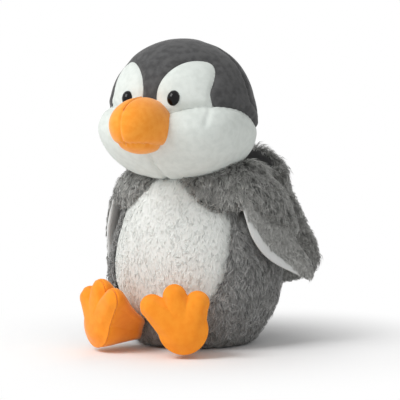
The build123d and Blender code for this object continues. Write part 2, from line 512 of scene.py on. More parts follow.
@dataclass(frozen=True)
class Gloss(Finish):
    """Moulded plastic, polished or matt."""

    roughness: float = 0.06

    def material(self) -> bpy.types.Material:
        """Builds the plastic material with faint handling marks.

        Returns:
            The new material.
        """
        material, tree, surface = self.start()
        surface.inputs["Base Color"].default_value = (*self.colour, 1.0)
        marks = self.noise_node(tree, 220.0, 5.0)
        spread = tree.nodes.new("ShaderNodeMapRange")
        spread.inputs["To Min"].default_value = self.roughness
        spread.inputs["To Max"].default_value = self.roughness + 0.07
        tree.links.new(marks.outputs["Fac"], spread.inputs["Value"])
        tree.links.new(spread.outputs["Result"], surface.inputs["Roughness"])
        surface.inputs["Specular IOR Level"].default_value = 0.2
        surface.inputs["Coat Weight"].default_value = 0.04
        surface.inputs["Coat Roughness"].default_value = 0.04
        return material


CROWN_PLUSH = Plush("charcoal_plush", (0.092, 0.092, 0.093), (0.060, 0.060, 0.061), sheen=0.14)
FACE_PLUSH = Plush("white_plush", (0.70, 0.74, 0.705), (0.645, 0.685, 0.65), sheen=0.10)
BEAK_PLUSH = Plush("orange_plush", (0.95, 0.36, 0.045), (0.91, 0.31, 0.03), sheen=0.30)
FOOT_PLUSH = Plush("foot_plush", (0.95, 0.32, 0.026), (0.92, 0.285, 0.02), sheen=0.25)
# Each fur's second colour is its root colour, painted shade deep in the pile.
BODY_FUR = Fur("grey_fur", (0.45, 0.45, 0.439), (0.15, 0.15, 0.146), (0.97, 0.97, 0.95))
BELLY_FUR = Fur("belly_fur", (0.95, 0.97, 0.94), (0.93, 0.95, 0.92), (0.97, 0.98, 0.96), clear=0.25)
HOOD_FUR = Fur("hood_fur", (0.49, 0.49, 0.466), (0.15, 0.15, 0.143), (0.98, 0.98, 0.945))
FLIPPER_FUR = Fur("flipper_fur", (0.60, 0.60, 0.575), (0.36, 0.36, 0.346), (0.95, 0.95, 0.92))
FLIPPER_SATIN = Knit("flipper_satin", (0.66, 0.67, 0.66), (0.58, 0.59, 0.58))
HOOD_LINING = Knit("hood_lining", (0.085, 0.085, 0.085), (0.05, 0.05, 0.05))
BASE_CLOTH = Knit("base_cloth", (0.12, 0.12, 0.12), (0.09, 0.09, 0.09))
EYE_GLOSS = Gloss("eye_gloss", (0.003, 0.003, 0.0035))


# ---------------------------------------------------------------- fur


@dataclass
class Coat:
    """A coat of fur: tapered strands that lie along the surface in tufts."""

    length: float = 15 * MM
    width: float = 0.75 * MM
    density: float = 1_400_000.0
    most: int = 62_000
    lift: float = 0.32
    tuft: int = 8
    spread: float = 0.45
    pull: float = 0.35
    seed: int = 1

    def grow(
        self,
        name: str,
        skin: bpy.types.Object,
        flow: Callable[[Array], Array],
        finish: bpy.types.Material,
    ) -> bpy.types.Object:
        """Grows strands on a skin.

        Args:
            name: the new piece's name.
            skin: the object that the strands stand on.
            flow: gives the way the pile lies at each root.
            finish: the material of the strands.

        Returns:
            One object with all strands.
        """
        rng = np.random.default_rng(self.seed)
        roots, normals = self.scatter(skin, rng)
        count = len(roots)
        along = self.combed(flow(roots), normals)
        across = np.cross(along, normals)
        middles = roots[rng.permutation(count)[: max(1, count // self.tuft)]]
        tree = kdtree.KDTree(len(middles))
        for number, middle in enumerate(middles):
            tree.insert(middle, number)
        tree.balance()
        tuft = np.array([tree.find(root)[1] for root in roots])
        turn = rng.normal(0, self.spread, len(middles))[tuft] + rng.normal(0, 0.16, count)
        along = unit(along * np.cos(turn)[:, None] + across * np.sin(turn)[:, None])
        across = np.cross(along, normals)
        tuft_length = rng.uniform(0.75, 1.2, len(middles))[tuft]
        length = (self.length * tuft_length * rng.uniform(0.75, 1.15, count))[:, None]
        rise = (self.lift * rng.uniform(0.5, 1.5, count))[:, None] * length
        gather = (middles[tuft] - roots) * self.pull
        bow = (rng.normal(0, 0.10, count))[:, None] * length * across
        stations = [
            (roots - normals * 0.8 * MM, 1.0),
            (roots + along * 0.5 * length + normals * rise + 0.4 * gather + bow, 0.85),
            (roots + along * length + normals * 0.85 * rise + gather, 0.0),
        ]
        lean = rng.uniform(-0.9, 0.9, count)[:, None]
        blade = unit(across * np.cos(lean) + normals * np.sin(lean))
        half = (0.5 * self.width * rng.uniform(0.7, 1.3, count))[:, None]
        points, shares = [], []
        for number, (place, share) in enumerate(stations):
            edges = (-1.0, 1.0) if share else (0.0,)
            for edge in edges:
                points.append(place + edge * half * share * blade)
                shares.append(np.full(count, number / 2.0))
        points = np.stack(points, axis=1).reshape(-1, 3)
        step = np.arange(count)[:, None] * 5
        quads = step + (0, 1, 3, 2)
        tips = step + (2, 3, 4)
        faces = [tuple(q) for q in quads.tolist()] + [tuple(t) for t in tips.tolist()]
        coat = make_object(name, points, faces, finish)
        tone = np.clip(rng.normal(0.40, 0.28, len(middles))[tuft] + rng.normal(0, 0.22, count), 0, 1)
        self.paint(coat, "tone", np.repeat(tone, 5))
        self.paint(coat, "along", np.stack(shares, axis=1).ravel())
        soft = unit(normals + 0.35 * blade * np.sign(lean) + rng.normal(0, 0.22, (count, 3)))
        coat.data.normals_split_custom_set_from_vertices(np.repeat(soft, 5, axis=0).tolist())
        return coat

    def scatter(self, skin: bpy.types.Object, rng: np.random.Generator) -> tuple[Array, Array]:
        """Picks root places evenly over a skin.

        Args:
            skin: the object that the strands stand on.
            rng: the source of random numbers.

        Returns:
            The roots and the outward direction at each.
        """
        mesh = skin.data
        mesh.calc_loop_triangles()
        corners = np.zeros(len(mesh.loop_triangles) * 3, int)
        mesh.loop_triangles.foreach_get("vertices", corners)
        corners = corners.reshape(-1, 3)
        points, normals = points_of(skin), normals_of(skin)
        a, b, c = (points[corners[:, k]] for k in range(3))
        area = 0.5 * np.linalg.norm(np.cross(b - a, c - a), axis=1)
        count = min(int(area.sum() * self.density), self.most)
        picked = rng.choice(len(area), count, p=area / area.sum())
        first, second = rng.random(count), rng.random(count)
        over = first + second > 1
        first[over], second[over] = 1 - first[over], 1 - second[over]
        weights = np.stack([1 - first - second, first, second], axis=1)[:, :, None]
        roots = (points[corners[picked]] * weights).sum(axis=1)
        return roots, unit((normals[corners[picked]] * weights).sum(axis=1))

    @staticmethod
    def combed(flow: Array, normals: Array) -> Array:
        """Lays the pile's direction flat on the surface.

        Args:
            flow: the wished direction at each root.
            normals: the outward direction at each root.

        Returns:
            Unit directions along the surface.
        """
        flat = flow - normals * (flow * normals).sum(axis=1, keepdims=True)
        return unit(flat + 1e-6)

    @staticmethod
    def paint(coat: bpy.types.Object, name: str, values: Array) -> None:
        """Stores one number for each point of a coat.

        Args:
            coat: the object with the strands.
            name: the attribute's name, as the material reads it.
            values: one number for each mesh point.
        """
        attribute = coat.data.attributes.new(name, "FLOAT", "POINT")
        attribute.data.foreach_set("value", values.astype(np.float32))


def plain_attributes(skin: bpy.types.Object, tone: float, along: float) -> None:
    """Gives a skin under a coat an even tone partway up from the fur's dark root colour: painted shade, so
    that it reads as deep pile.

    Args:
        skin: the object that the strands stand on.
        tone: the tone that the fur material reads.
        along: the share of the strand that it reads.
    """
    count = len(skin.data.vertices)
    Coat.paint(skin, "tone", np.full(count, tone))
    Coat.paint(skin, "along", np.full(count, along))


# ---------------------------------------------------------------- body


@dataclass
class Body:
    """The seated body: grey fur sides, a pale belly and the base it sits on."""

    widest: float = 0.066
    base_radius: float = 0.045
    shoulder_radius: float = 0.058
    pile: float = 4.5 * MM
    floor_gap: float = 0.4 * MM
    belly_middle: float = 0.098
    belly_half_width: float = 0.0645
    belly_half_height: float = 0.072
    belly_power: float = 2.3
    rows: int = 110
    columns: int = 190

    def __post_init__(self) -> None:
        """Reads the body's size from the frame."""
        low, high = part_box("body_side_left")
        self.radius = high.x
        self.height = high.z

    def edge(self, z: Array) -> Array:
        """The body's radius at a height.

        Args:
            z: heights in metres.

        Returns:
            The radius at each height, measured on the fabric node.
        """
        z = np.clip(z, 0.0, self.height)
        low = z < self.widest
        narrowing = np.where(low, self.radius - self.base_radius, self.radius - self.shoulder_radius)
        rise = np.where(low, self.widest, self.height - self.widest)
        arc = (narrowing**2 + rise**2) / (2 * narrowing)
        return self.radius - arc + np.sqrt(arc**2 - (z - self.widest) ** 2)

    def belly(self, points: Array) -> Array:
        """How far a point lies inside the belly panel's seam.

        Args:
            points: rows of X, Y, Z.

        Returns:
            Positive inside the panel, in metres.
        """
        x, y, z = points.T
        half_width, half_height, power = self.belly_half_width, self.belly_half_height, self.belly_power
        aside = np.abs(x / half_width) ** power
        upright = np.abs((z - self.belly_middle) / half_height) ** power
        ring = (aside + upright) ** (1 / power)
        return np.where(y < 0, (1 - ring) * 0.5 * (half_width + half_height), -FAR_OUTSIDE)

    def skin(self) -> bpy.types.Object:
        """The body's whole skin, under the pile.

        Returns:
            One object, still to be divided at its seams.
        """
        rise = np.linspace(0, 1, self.rows)
        turn = full_turn(self.columns)
        rings = [upright_ring(turn, 0.4 * self.base_radius, self.floor_gap)]
        for height in self.height * (0.5 - 0.5 * np.cos(math.pi * rise)):
            radius = float(self.edge(np.array(height))) - self.pile * smooth_step(0, 0.03, height)
            rings.append(upright_ring(turn, radius, max(height, self.floor_gap)))
        rings.append(rings[-1] * (0.6, 0.6, 1.0))
        faces = grid_faces(len(rings), self.columns, start=True, end=True)
        made = make_object("body_skin", np.concatenate(rings), faces, BODY_FUR.material())
        cut_along(made, self.belly)
        cut_along(made, off_middle)
        cut_along(made, lambda p: np.hypot(p[:, 0], p[:, 1]) - self.base_radius + 0.2 * MM)
        points = points_of(made)
        self.labels = self.panels(face_centres(made))
        swell = 1.6 * MM * ripple(points, 0.045, 3.1) * smooth_step(0.004, 0.03, points[:, 2])
        pinch = 2.2 * MM * np.exp(-((self.belly(points) / 0.004) ** 2))
        set_points(made, points + normals_of(made) * (swell - pinch)[:, None])
        return made

    def panels(self, centres: Array) -> Array:
        """Numbers the panel that each face belongs to.

        Args:
            centres: the faces' centres.

        Returns:
            1 left side, 2 right side, 3 belly, 4 base.
        """
        under = (centres[:, 2] < 1.5 * MM) & (np.hypot(centres[:, 0], centres[:, 1]) < self.base_radius)
        sides = np.where(centres[:, 0] > 0, 1, 2)
        return np.where(under, 4, np.where(self.belly(centres) > 0, 3, sides))

    def dress(self) -> None:
        """Builds the body's pieces and their fur."""
        skin = self.skin()
        names = {1: "body_side_left", 2: "body_side_right", 3: "belly_panel", 4: "base_panel"}
        pieces = split_by(skin, self.labels, {k: f"{v}_skin" for k, v in names.items()})
        belly_fur, body_fur = BELLY_FUR.material(), BODY_FUR.material()
        for number, node in names.items():
            piece = pieces[f"{node}_skin"]
            if node == "base_panel":
                piece.data.materials[0] = BASE_CLOTH.material()
                thicken(piece, 1.5 * MM)
                self.fit(piece, node, "base_cloth")
                continue
            pale = node == "belly_panel"
            fur = belly_fur if pale else body_fur
            slot = "belly_fur" if pale else "grey_fur"
            piece.data.materials[0] = fur
            # The skin under the pile gets painted shade from the fur's root colour.
            plain_attributes(piece, 0.3, 0.35)
            hair = self.coat(10 + number, pale).grow(f"{node}_pile", piece, self.flow, fur)
            self.trim(hair)
            self.fit(piece, node, slot)
            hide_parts("body_filling", "pellet_pouch")
            self.fit(hair, node, slot)

    @staticmethod
    def coat(seed: int, pale: bool) -> Coat:
        """The fur of one panel.

        Args:
            seed: makes this panel's strands differ from the others'.
            pale: whether it is the belly, whose pile is short and even.

        Returns:
            The coat, ready to grow.
        """
        if not pale:
            return Coat(length=11 * MM, spread=0.55, seed=seed)
        return Coat(
            length=6 * MM,
            width=0.8 * MM,
            density=420_000,
            lift=0.06,
            tuft=5,
            spread=0.4,
            pull=0.1,
            seed=seed,
        )

    @staticmethod
    def flow(points: Array) -> Array:
        """The pile lies down, and a little outward where the body widens.

        Args:
            points: the strands' roots.

        Returns:
            A direction at each root.
        """
        swirl = 0.25 * ripple(points, 0.05, 7.7)
        around = np.column_stack([-points[:, 1], points[:, 0], np.zeros(len(points))])
        return np.array([0, 0, -1.0]) + unit(around) * swirl[:, None]

    @staticmethod
    def trim(hair: bpy.types.Object) -> None:
        """Keeps strands off the floor.

        Args:
            hair: the strands of one panel.
        """
        points = points_of(hair)
        points[:, 2] = np.maximum(points[:, 2], 0.5 * MM)
        set_points(hair, points)

    @staticmethod
    def fit(piece: bpy.types.Object, node: str, slot: str) -> None:
        """Ties a piece to the body and hides the node that it stands for.

        Args:
            piece: the piece.
            node: the node it stands for.
            slot: the material slot of its finish; not used.
        """
        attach(piece, "body")
        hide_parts(node)


# ---------------------------------------------------------------- head


@dataclass
class Head:
    """The head: a charcoal crown, white eye patches and full white cheeks."""

    rows: int = 150
    columns: int = 220
    seam_depth: float = 1.7 * MM
    seam_width: float = 2.4 * MM
    patch_aside: float = 34 * MM
    patch_up: float = 17 * MM
    patch_outer: float = 20.5 * MM
    patch_inner: float = 26 * MM
    patch_tall: float = 29 * MM
    chin_level: float = 40 * MM
    dart_aside: float = 57 * MM
    neck_radius: float = 33 * MM
    neck_back: float = 6 * MM

    def __post_init__(self) -> None:
        """Reads the head's place and size from the frame."""
        front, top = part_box("head_crown")
        low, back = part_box("head_back")
        self.half_width = top.x
        self.half_girth = 0.5 * (back.y - front.y)
        self.centre = np.array([0.0, 0.5 * (back.y + front.y), top.z - self.half_girth])

    def surface(self, directions: Array) -> Array:
        """The head's surface, seen from its middle.

        Args:
            directions: unit directions from the middle.

        Returns:
            The point of the surface in each direction.
        """
        low = smooth_step(-0.2, 0.3, -directions[:, 2])
        power = 2.0 + 0.45 * low
        side = self.half_width - 5.5 * MM + 3.5 * MM * low
        deep = np.full_like(side, self.half_girth)
        spans = np.column_stack([side, deep, deep + 3.5 * MM])
        scaled = np.abs(directions) / spans
        reach = (scaled ** power[:, None]).sum(axis=1) ** (-1 / power)
        points = directions * reach[:, None]
        forward = low * smooth_step(0.9, 0.2, -directions[:, 2])
        points[:, 1] -= 5 * MM * smooth_step(-0.1, 0.4, -directions[:, 2])
        points[:, 1] -= 5 * MM * forward * smooth_step(0.4, -0.4, directions[:, 1])
        return points + self.centre

    def cheek(self, points: Array) -> Array:
        """How far a point lies below the seam over the cheeks.

        Args:
            points: rows of X, Y, Z.

        Returns:
            Positive on the cheeks, in metres.
        """
        rel = points - self.centre
        turn = np.degrees(np.arctan2(np.abs(rel[:, 0]), -rel[:, 1]))
        seam = 2.8 * MM - 6.5 * MM * ((turn - 52) / 32) ** 2
        return seam - rel[:, 2]

    def patch(self, points: Array) -> Array:
        """How far a point lies inside an eye patch.

        Args:
            points: rows of X, Y, Z.

        Returns:
            Positive inside the patch, in metres.
        """
        rel = points - self.centre
        across, up = np.abs(rel[:, 0]) - self.patch_aside, rel[:, 2] - self.patch_up
        outer = across > 0
        aside = across - 0.12 * up - np.where(outer, 35.0 * np.minimum(up, 0) ** 2, 0.0)
        width = np.where(outer, self.patch_outer, self.patch_inner)
        power = np.where(outer, 2.35, 2.0)
        drop = np.where(outer & (up < 0), 0.2, 1.0)
        upright = np.abs(drop * up / self.patch_tall) ** power
        ring = (np.abs(aside / width) ** power + upright) ** (1 / power)
        inside = (1 - ring) * 24 * MM
        return np.where(rel[:, 1] < 0, np.minimum(inside, -self.cheek(points)), -FAR_OUTSIDE)

    def behind(self, points: Array) -> Array:
        """How far a point lies behind the seam from ear to ear.

        Args:
            points: rows of X, Y, Z.

        Returns:
            Positive on the back of the head, in metres.
        """
        rel = points - self.centre
        low = smooth_step(0.010, -0.012, rel[:, 2])
        return rel[:, 1] - (6 * MM + 30 * MM * low)

    def neckline(self, points: Array) -> Array:
        """How far a point lies outside the hole for the neck.

        Args:
            points: rows of X, Y, Z.

        Returns:
            Negative inside the hole, in metres.
        """
        rel = points - self.centre
        away = np.hypot(rel[:, 0], rel[:, 1] - self.neck_back) - self.neck_radius
        return np.where(rel[:, 2] < 0, away, FAR_OUTSIDE)

    def region(self, points: Array) -> Array:
        """Numbers the panel that each point lies on.

        Args:
            points: rows of X, Y, Z.

        Returns:
            1 crown, 2 back, 3 and 4 patches, 5 and 6 cheeks, 0 the neck's hole.
        """
        left = points[:, 0] > 0
        number = np.where(self.behind(points) > 0, 2, 1)
        under = points[:, 2] < self.centre[2] - self.chin_level
        cheek = ((self.cheek(points) > 0) | under) & (number == 1)
        number = np.where(cheek, np.where(left, 5, 6), number)
        inside = (self.patch(points) > 0) & (number == 1)
        number = np.where(inside, np.where(left, 3, 4), number)
        return np.where(self.neckline(points) < 0, 0, number)

    def sphere(self) -> bpy.types.Object:
        """The head's whole skin as one mesh.

        Returns:
            The object, still to be divided at its seams.
        """
        fall = np.linspace(0.02, math.pi - 0.02, self.rows)
        turn = full_turn(self.columns)
        rings = [upright_ring(turn, math.sin(f), math.cos(f)) for f in fall]
        faces = [face[::-1] for face in grid_faces(self.rows, self.columns, start=True, end=True)]
        points = self.surface(np.concatenate(rings))
        return make_object("head_skin", points, faces, CROWN_PLUSH.material())

    def shape(self, points: Array) -> Array:
        """How far the stuffing and the seams move the skin.

        Args:
            points: rows of X, Y, Z on the skin.

        Returns:
            The move outward at each point, in metres.
        """
        rel = points - self.centre
        number = self.region(points)
        front = number != 2
        move = np.zeros(len(points))

        def crease(distance: Array, mask: Array, depth: float, width: float) -> None:
            """Presses a soft groove into the skin along one seam.

            Args:
                distance: how far each point lies from the seam.
                mask: the points that the seam can move.
                depth: how deep the groove is, in metres.
                width: how wide it is, in metres.
            """
            nonlocal move
            move = move - np.where(mask, depth * np.exp(-((distance / width) ** 2)), 0)

        crease(self.cheek(points), front, 2.2 * self.seam_depth, 1.7 * self.seam_width)
        crease(self.patch(points), front & (self.cheek(points) < 0), self.seam_depth, self.seam_width)
        crease(self.behind(points), number > 0, self.seam_depth, self.seam_width)
        crease(rel[:, 0], (number >= 5) & (rel[:, 1] < 0), 1.2 * self.seam_depth, self.seam_width)
        dart = np.abs(rel[:, 0]) - self.dart_aside
        span = smooth_step(-18 * MM, -8 * MM, rel[:, 2]) * (number >= 5)
        crease(dart, span > 0, 0.9 * self.seam_depth, 0.8 * self.seam_width)
        full = smooth_step(0, 22 * MM, self.cheek(points)) * (number >= 5)
        pad = smooth_step(0, 16 * MM, self.patch(points))
        soft = 0.9 * MM * ripple(points, 0.035, 5.2)
        return move + 2.0 * MM * full + 1.4 * MM * pad + soft + self.puckers(rel, points)

    def puckers(self, rel: Array, points: Array) -> Array:
        """Small gathers along the seams, where the thread pulls the plush.

        Args:
            rel: the points from the head's middle.
            points: rows of X, Y, Z on the skin.

        Returns:
            The move outward at each point, in metres.
        """
        turn = np.arctan2(rel[:, 0], -rel[:, 1])
        waves = np.sin(64 * turn) * np.exp(-((self.cheek(points) / (5 * MM)) ** 2))
        steep = np.sin(rel[:, 2] / (1.3 * MM)) * np.exp(-((self.behind(points) / (6 * MM)) ** 2))
        return 0.28 * MM * waves + 0.35 * MM * steep

    def dress(self) -> None:
        """Builds the head's pieces."""
        skin = self.sphere()
        for seam in (self.cheek, self.patch, self.behind, self.neckline, off_middle):
            cut_along(skin, seam)
        names = {1: "head_crown", 2: "head_back"}
        names |= {3: "eye_patch_left", 4: "eye_patch_right", 5: "cheek_left", 6: "cheek_right"}
        labels = self.region(face_centres(skin))
        points = points_of(skin)
        set_points(skin, points + normals_of(skin) * self.shape(points)[:, None])
        pieces = split_by(skin, labels, {k: f"{v}_plush" for k, v in names.items()})
        dark, pale = CROWN_PLUSH.material(), FACE_PLUSH.material()
        for number, node in names.items():
            piece = pieces[f"{node}_plush"]
            piece.data.materials[0] = dark if number < 3 else pale
            thicken(piece, 2.0 * MM)
            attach(piece, "head")
            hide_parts(node, "head_filling")


# ---------------------------------------------------------------- beak and eyes


@dataclass
class Beak:
    """The big soft beak: two upper halves and a lower jaw."""

    rows: int = 90
    columns: int = 120
    mouth_drop: float = 20.5 * MM

    def __post_init__(self) -> None:
        """Reads the beak's place and size from the frame."""
        left_low, left_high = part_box("beak_upper_left")
        jaw_low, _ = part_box("beak_lower")
        self.half_width = left_high.x - 1.5 * MM
        self.half_height = 0.5 * (left_high.z - jaw_low.z) - 1.2 * MM
        self.middle_z = 0.5 * (left_high.z + jaw_low.z) + 1.0 * MM
        self.tip_y = left_low.y
        self.half_length = 39 * MM
        self.centre = np.array([0.0, self.tip_y + self.half_length, self.middle_z])

    def mouth(self, points: Array) -> Array:
        """How far a point lies below the mouth's seam.

        Args:
            points: rows of X, Y, Z.

        Returns:
            Positive on the jaw, in metres.
        """
        rel = points - self.centre
        corner = 3 * MM * (rel[:, 0] / self.half_width) ** 2
        return -self.mouth_drop - 0.10 * rel[:, 1] + corner - rel[:, 2]

    def dress(self) -> None:
        """Builds the beak's pieces."""
        fall = np.linspace(0.03, math.pi * 0.72, self.rows)
        turn = full_turn(self.columns)
        rings = []
        for f in fall:
            swell = math.sin(f) ** 0.92
            along = np.full_like(turn, -self.half_length * math.cos(f))
            across = self.half_width * swell * np.sin(turn)
            rings.append(np.column_stack([across, along, self.half_height * swell * np.cos(turn)]))
        points = np.concatenate(rings) + self.centre
        faces = grid_faces(self.rows, self.columns, start=True)
        skin = make_object("beak_skin", points, faces, BEAK_PLUSH.material())
        face_outward(skin)
        cut_along(skin, self.mouth)
        cut_along(skin, off_middle)
        mouth = self.mouth(face_centres(skin))
        labels = np.where(mouth > 0, 3, np.where(face_centres(skin)[:, 0] > 0, 1, 2))
        points = points_of(skin)
        rel = points - self.centre
        mouth = self.mouth(points)
        upper = mouth < 0
        move = -1.5 * MM * np.exp(-((mouth / (1.7 * MM)) ** 2))
        bridge = 1.1 * MM * np.exp(-((rel[:, 0] / (1.5 * MM)) ** 2)) * upper
        move -= bridge * smooth_step(12 * MM, -6 * MM, rel[:, 1])
        move += 0.4 * MM * np.sin(rel[:, 0] / (0.7 * MM)) * np.exp(-((mouth / (1.6 * MM)) ** 2))
        move += 0.5 * MM * ripple(points, 0.026, 9.4)
        set_points(skin, points + normals_of(skin) * move[:, None])
        names = {1: "beak_upper_left", 2: "beak_upper_right", 3: "beak_lower"}
        pieces = split_by(skin, labels, {k: f"{v}_plush" for k, v in names.items()})
        for node in names.values():
            piece = pieces[f"{node}_plush"]
            thicken(piece, 1.6 * MM)
            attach(piece, "head")
            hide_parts(node, "beak_filling")


@dataclass
class Eye:
    """One oval, domed safety eye."""

    side: Side
    half_wide: float = 6.0 * MM
    half_tall: float = 7.5 * MM
    dome: float = 5.4 * MM
    sink: float = 5.6 * MM
    lean: float = math.radians(9)
    rings: int = 24
    columns: int = 48

    def dress(self) -> None:
        """Builds the eye's dome on its node's place."""
        node = f"eye_{self.side.word}"
        low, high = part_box(node)
        across = self.side.value
        middle = np.array([0.5 * (low.x + high.x), low.y, 0.5 * (low.z + high.z)])
        outward = unit(np.array([[0.27 * across, -0.95, 0.13]]))[0]
        sideways = unit(np.cross([0, 0, 1.0], outward)[None])[0]
        upward = np.cross(outward, sideways)
        lean = self.lean * across
        tall = upward * math.cos(lean) + sideways * math.sin(lean)
        wide = np.cross(tall, outward)
        centre = middle + outward * -self.sink
        fall = np.linspace(0.0, 0.62 * math.pi, self.rings)[1:]
        turn = full_turn(self.columns)
        oval = np.outer(np.cos(turn), wide) * self.half_wide + np.outer(np.sin(turn), tall) * self.half_tall
        rows = [centre + outward * self.dome * math.cos(f) + math.sin(f) * oval for f in fall]
        faces = grid_faces(len(rows), self.columns, start=True, end=True)
        dome = make_object(f"{node}_dome", np.concatenate(rows), faces, EYE_GLOSS.material())
        face_outward(dome)
        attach(dome, "head")
        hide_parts(node)


# ---------------------------------------------------------------- flippers


@dataclass
class Flipper:
    """One flat, stuffed flipper with furry outside and smooth lining."""

    side: Side
    flare: float = math.radians(14)
    yaw: float = math.radians(9)
    half: float = 7.0 * MM
    shoulder: tuple[float, float, float] = (79 * MM, -8 * MM, 143 * MM)
    tuck: float = 0.5 * MM
    right_back: float = 4 * MM
    columns: int = 120
    rings: int = 22

    def outline(self) -> Array:
        """The flipper's side view: U to the back, V up, the shoulder at V = 0.

        Returns:
            Rows of U and V around the edge.
        """
        front = [(-30, 2), (-31, -18), (-25, -38), (-8, -58)]
        tip = [(16, -73), (33, -81), (43, -77), (45, -64)]
        back = [(37, -41), (28, -17), (19, 2), (-4, 6)]
        knots = np.array(front + tip + back, float)
        count = len(knots)
        spots = np.linspace(0, count, self.columns, endpoint=False)
        whole = spots.astype(int)
        t = (spots - whole)[:, None]
        a, b, c, d = (knots[(whole + k) % count] for k in (-1, 0, 1, 2))
        slope = (c - a) * t
        bend = (2 * a - 5 * b + 4 * c - d) * t**2
        twist = (3 * b - a - 3 * c + d) * t**3
        return 0.5 * (2 * b + slope + bend + twist) * MM

    def place(self, local: Array) -> Array:
        """Moves a flipper's points to its shoulder.

        Args:
            local: rows of outward, backward and upward distances.

        Returns:
            The points in the frame of the whole penguin.
        """
        out, along, up = local.T
        x = out * math.cos(self.flare) - up * math.sin(self.flare)
        z = out * math.sin(self.flare) + up * math.cos(self.flare)
        turned = x * math.cos(self.yaw) + along * math.sin(self.yaw)
        behind = along * math.cos(self.yaw) - x * math.sin(self.yaw)
        aside, fore, high = self.shoulder
        back = 0.0 if self.side is Side.LEFT else self.right_back
        points = np.column_stack([turned + aside - self.tuck, behind + fore + back, z + high])
        points[:, 0] *= self.side.value
        return points

    def strip(self) -> Array:
        """How far the lining shows outside, along the front edge of the flipper.

        Returns:
            A width at each column of the outline, in metres.
        """
        rim = self.outline()
        front = smooth_step(2 * MM, -6 * MM, rim[:, 0] + 0.42 * rim[:, 1] + 8 * MM)
        return 8.0 * MM * front * smooth_step(-8 * MM, -24 * MM, rim[:, 1]) + 0.5 * MM

    def shell(self, outer: bool) -> bpy.types.Object:
        """One face of the flipper, from its middle to the seam at its edge.

        Args:
            outer: the furry outside, or the lining.

        Returns:
            The new sheet.
        """
        rim = self.outline()
        middle = np.array([7 * MM, -37 * MM])
        seam = 1 - self.strip() / np.linalg.norm(rim - middle, axis=1)
        stations = [(t * seam, 1.0) for t in np.linspace(0.03, 1, self.rings)]
        if not outer:
            stations = [(np.full(self.columns, t), -0.8) for t in np.linspace(0.03, 1, self.rings)]
            stations += [(1 - (1 - seam) * t, 1.0) for t in (0.1, 0.3, 0.55, 0.8, 1.0)]
        rows = []
        for share, side in stations:
            flat = middle + (rim - middle) * share[:, None]
            puff = side * self.half * (1 - np.minimum(share, 0.9999) ** 2.6) ** 0.6
            rows.append(np.column_stack([puff, flat]))
        points = np.concatenate(rows)
        bend = 9 * MM * smooth_step(-0.045, -0.085, points[:, 2])
        bend = bend + 5 * MM * smooth_step(0.0, 0.055, points[:, 1])
        points[:, 0] += bend + 1.1 * MM * ripple(points * (0, 1, 1) + self.side.value, 0.03, 4.0)
        faces = grid_faces(len(rows), self.columns, start=True)
        word = "fur" if outer else "satin"
        finish = FLIPPER_FUR if outer else FLIPPER_SATIN
        name = f"flipper_{word}_{self.side.word}_skin"
        return make_object(name, self.place(points), faces, finish.material())

    def dress(self) -> None:
        """Builds the flipper's two faces and its short fur."""
        word = self.side.word
        outer, inner = self.shell(True), self.shell(False)
        self.face_to(outer, 1)
        self.face_to(inner, -1)
        # The skin under the pile gets painted shade from the fur's root colour.
        plain_attributes(outer, 0.35, 0.55)
        coat = Coat(
            length=5.5 * MM,
            width=0.8 * MM,
            density=2_200_000,
            lift=0.16,
            spread=0.8,
            seed=41 + self.side.value,
        )
        hair = coat.grow(f"flipper_fur_{word}_pile", outer, self.flow, outer.data.materials[0])
        for piece in (outer, inner):
            thicken(piece, 1.4 * MM)
        for piece, cloth in ((outer, "fur"), (hair, "fur"), (inner, "satin")):
            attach(piece, f"flipper_{word}")
            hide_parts(f"flipper_{cloth}_{word}", f"flipper_filling_{word}")

    def face_to(self, piece: bpy.types.Object, way: int) -> None:
        """Turns a sheet's faces away from the body or towards it.

        Args:
            piece: the sheet.
            way: 1 for away from the body, -1 for towards it.
        """
        side = normals_of(piece)[:, 0].mean() * self.side.value * way
        if side < 0:
            piece.data.flip_normals()

    def flow(self, points: Array) -> Array:
        """The pile lies down and back, towards the flipper's tip.

        Args:
            points: the strands' roots.

        Returns:
            A direction at each root.
        """
        return np.tile([0.2 * self.side.value, 0.45, -1.0], (len(points), 1))


# ---------------------------------------------------------------- feet


